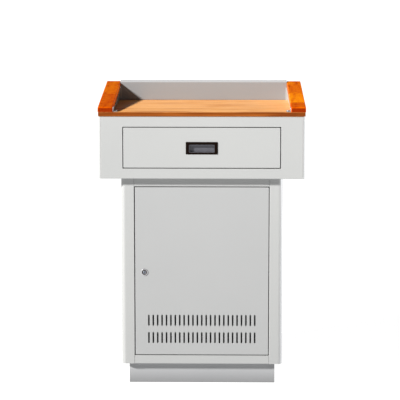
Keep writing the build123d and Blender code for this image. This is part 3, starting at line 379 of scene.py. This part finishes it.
def ring_round(look, centre):
    """1 on a ring round an axis along Y, 0 elsewhere."""
    place = look.axes()
    across = look.math("POWER", look.minus(place["X"], centre.x), 2.0)
    upright = look.math("POWER", look.minus(place["Z"], centre.z), 2.0)
    radius = look.math("SQRT", look.plus(across, upright))
    outside = look.math("GREATER_THAN", radius, RING_INNER)
    return look.times(outside, look.math("LESS_THAN", radius, RING_OUTER))


def lock_chrome(name):
    """Chrome with a dark enamelled ring sunk round the plug."""
    look = Look(name)
    ring = ring_round(look, middle_of("lock_body"))
    smear = look.noise(scale=260.0, detail=4.0)
    metal = look.mix(look.spread(smear, MEDIUM, (0.0, 0.5)), CHROME, scaled(CHROME, CHROME_SMEAR))
    soft = look.round_edges(radius=0.0004)
    # Edges paler: partly wear, partly a painted highlight
    metal = look.mix(look.times(look.edges(soft), 0.6), metal, CHROME_RUBBED_AND_HIGHLIT)
    metal = look.mix(ring, metal, look.ramp(smear, (0.35, ENAMEL_DARK), (0.65, ENAMEL_LIGHT)))
    rough = look.spread(smear, WIDE, (0.12, 0.24))
    normal = look.bump(smear, distance=0.00003, strength=0.4, normal=soft)
    look.set(Base_Color=metal, Roughness=rough, Normal=normal, Metallic=look.minus(1.0, ring))
    return look.material


def zinc_plate(name):
    """Bright zinc with faint crystal patches and drawing marks."""
    look = Look(name)
    crystals = look.add("ShaderNodeTexVoronoi", {"Vector": look.place, "Scale": 260.0})
    grey = look.ramp(crystals.outputs["Color"], (0.0, ZINC_DARK), (1.0, ZINC_LIGHT))
    marks = look.noise(scale=8.0, detail=4.0, rough=0.7, place=look.stretched((60.0, 2.0, 60.0)))
    grey = look.mix(look.spread(marks, MEDIUM, (0.0, 0.35)), grey, ZINC_MARKS)
    # Painted shade: darker in corners and gaps, where the occlusion node finds little open space
    corner_shade = look.spread(look.corners(distance=0.004), (0.0, 0.6), (0.4, 0.0))
    grey = look.mix(corner_shade, grey, ZINC_CORNER_SHADE)
    rough = look.spread(marks, WIDE, (0.36, 0.50))
    normal = look.bump(marks, distance=0.00003, strength=0.4, normal=look.round_edges(radius=0.0004))
    look.set(Base_Color=grey, Roughness=rough, Normal=normal, Metallic=1.0)
    return look.material


def black_rubber(name):
    """Matt rubber with a fine speckle and a pale bloom in patches."""
    look = Look(name)
    speckle = look.noise(scale=700.0, detail=3.0)
    colour = look.ramp(speckle, (0.3, RUBBER_DARK), (0.7, RUBBER_LIGHT))
    bloom = look.spread(look.noise(scale=40.0, detail=3.0), (0.5, 0.75), (0.0, 0.4))
    colour = look.mix(bloom, colour, RUBBER_BLOOM)
    rough = look.spread(speckle, WIDE, (0.65, 0.85))
    normal = look.bump(speckle, distance=0.00008, strength=0.5, normal=look.round_edges(radius=0.0005))
    look.set(Base_Color=colour, Roughness=rough, Normal=normal)
    return look.material


def paint_nodes():
    """Every CAD node takes the material of its slot in the record; a few have a coat of their own. These are
    the hinge pins, and copies of the powder coat for the back wall, the door and the plinth, each with its
    own grey and its own painted shade.
    """
    slots = {
        "steel_grey": powder_coat("steel_grey", STEEL, STEEL_SHADE, foot=STEEL_FLOOR_SHADE),
        "desk_laminate": desk_laminate("desk_laminate"),
        "armrest_wood": finger_jointed_wood("armrest_wood"),
        "handle_bronze": cast_metal("handle_bronze", *HANDLE),
        "handle_cup": cast_metal("handle_cup", *CUP),
        "lock_chrome": lock_chrome("lock_chrome"),
        "lock_core": cast_metal("lock_core", *PLUG),
        "zinc_steel": zinc_plate("zinc_steel"),
        "rubber": black_rubber("rubber"),
    }
    plinth = powder_coat("plinth_steel", PLINTH, PLINTH_SHADE, foot=PLINTH_FLOOR_SHADE, shade_top=PLINTH_SHADE_TOP)
    pin = cast_metal("pin_steel", *PIN)
    # Copies of the powder coat with painted shade on the front or towards the floor, and the pins' own metal
    own_and_shaded_coats = {
        "fence_back_wall": powder_coat("wall_steel", WALL, WALL_SHADE, front=WALL_FRONT_SHADE),
        "door_panel": powder_coat("door_steel", DOOR, DOOR_SHADE, foot=DOOR_FLOOR_SHADE, front=DOOR_FRONT_SHADE),
        **{f"plinth_{side}": plinth for side in ("front", "rear", "left", "right")},
        **{f"hinge_pin_{end}": pin for end in ("bottom", "top")},
    }
    for part in frame["record"]["subparts"]:
        materials = NODES[part["node"]].data.materials
        materials.clear()
        materials.append(own_and_shaded_coats.get(part["node"], slots[part["material_slot"]]))


def floor_look():
    """Pale floor that glows a little, as a lit white sweep does."""
    look = Look("floor")
    tone = look.ramp(look.noise(scale=1.5, detail=3.0), (0.3, FLOOR_DARK), (0.7, FLOOR_LIGHT))
    look.set(Base_Color=tone, Roughness=FLOOR_ROUGH, Emission_Color=WHITE, Emission_Strength=FLOOR_GLOW)
    look.material.cycles.emission_sampling = "NONE"
    return look.material


def build_floor():
    mesh = bpy.data.meshes.new("floor")
    half, level = FLOOR_SIZE / 2, LOW.z - FLOOR_DROP
    corners = ((-half, -half), (half, -half), (half, half), (-half, half))
    mesh.from_pydata([(x, y, level) for x, y in corners], [], [(0, 1, 2, 3)])
    mesh.materials.append(floor_look())
    floor = bpy.data.objects.new("floor", mesh)
    bpy.context.scene.collection.objects.link(floor)


def build_sky():
    """World that is white at the horizon and dim overhead."""
    world = bpy.data.worlds.new("sky")
    bpy.context.scene.world = world
    world.use_nodes = True
    tree = world.node_tree
    background = tree.nodes["Background"]
    direction = tree.nodes.new("ShaderNodeTexCoord").outputs["Generated"]
    axes = tree.nodes.new("ShaderNodeSeparateXYZ")
    fade = tree.nodes.new("ShaderNodeMapRange")
    fade.interpolation_type = "SMOOTHSTEP"
    tree.links.new(direction, axes.inputs["Vector"])
    tree.links.new(axes.outputs["Z"], fade.inputs["Value"])
    ends = {"From Min": 0.0, "From Max": SKY_FADE, "To Min": SKY_LOW, "To Max": SKY_HIGH}
    for name, value in ends.items():
        fade.inputs[name].default_value = value
    tree.links.new(fade.outputs["Result"], background.inputs["Strength"])
    background.inputs["Color"].default_value = (*WHITE, 1.0)


def build_sun(name, direction, strength, softness, colour):
    light = bpy.data.lights.new(name, "SUN")
    light.energy = strength
    light.angle = math.radians(softness)
    light.color = colour
    sun = bpy.data.objects.new(name, light)
    sun.rotation_euler = Vector(direction).to_track_quat("-Z", "Y").to_euler()
    bpy.context.scene.collection.objects.link(sun)


def build_camera():
    lens = bpy.data.cameras.new("camera")
    lens.lens = CAMERA_LENS
    lens.shift_y = CAMERA_SHIFT
    lens.clip_end = 2 * FLOOR_SIZE
    camera = bpy.data.objects.new("camera", lens)
    camera.location = CAMERA_PLACE
    camera.rotation_euler = (math.radians(90 - CAMERA_TILT), 0, math.radians(CAMERA_TURN))
    bpy.context.scene.collection.objects.link(camera)
    bpy.context.scene.camera = camera


paint_nodes()
build_floor()
build_sky()
build_sun("key", KEY_DIRECTION, KEY_STRENGTH, KEY_SOFTNESS, KEY_COLOUR)
build_sun("rim", RIM_DIRECTION, RIM_STRENGTH, RIM_SOFTNESS, RIM_COLOUR)
build_camera()
bpy.context.scene.view_settings.view_transform = "Standard"
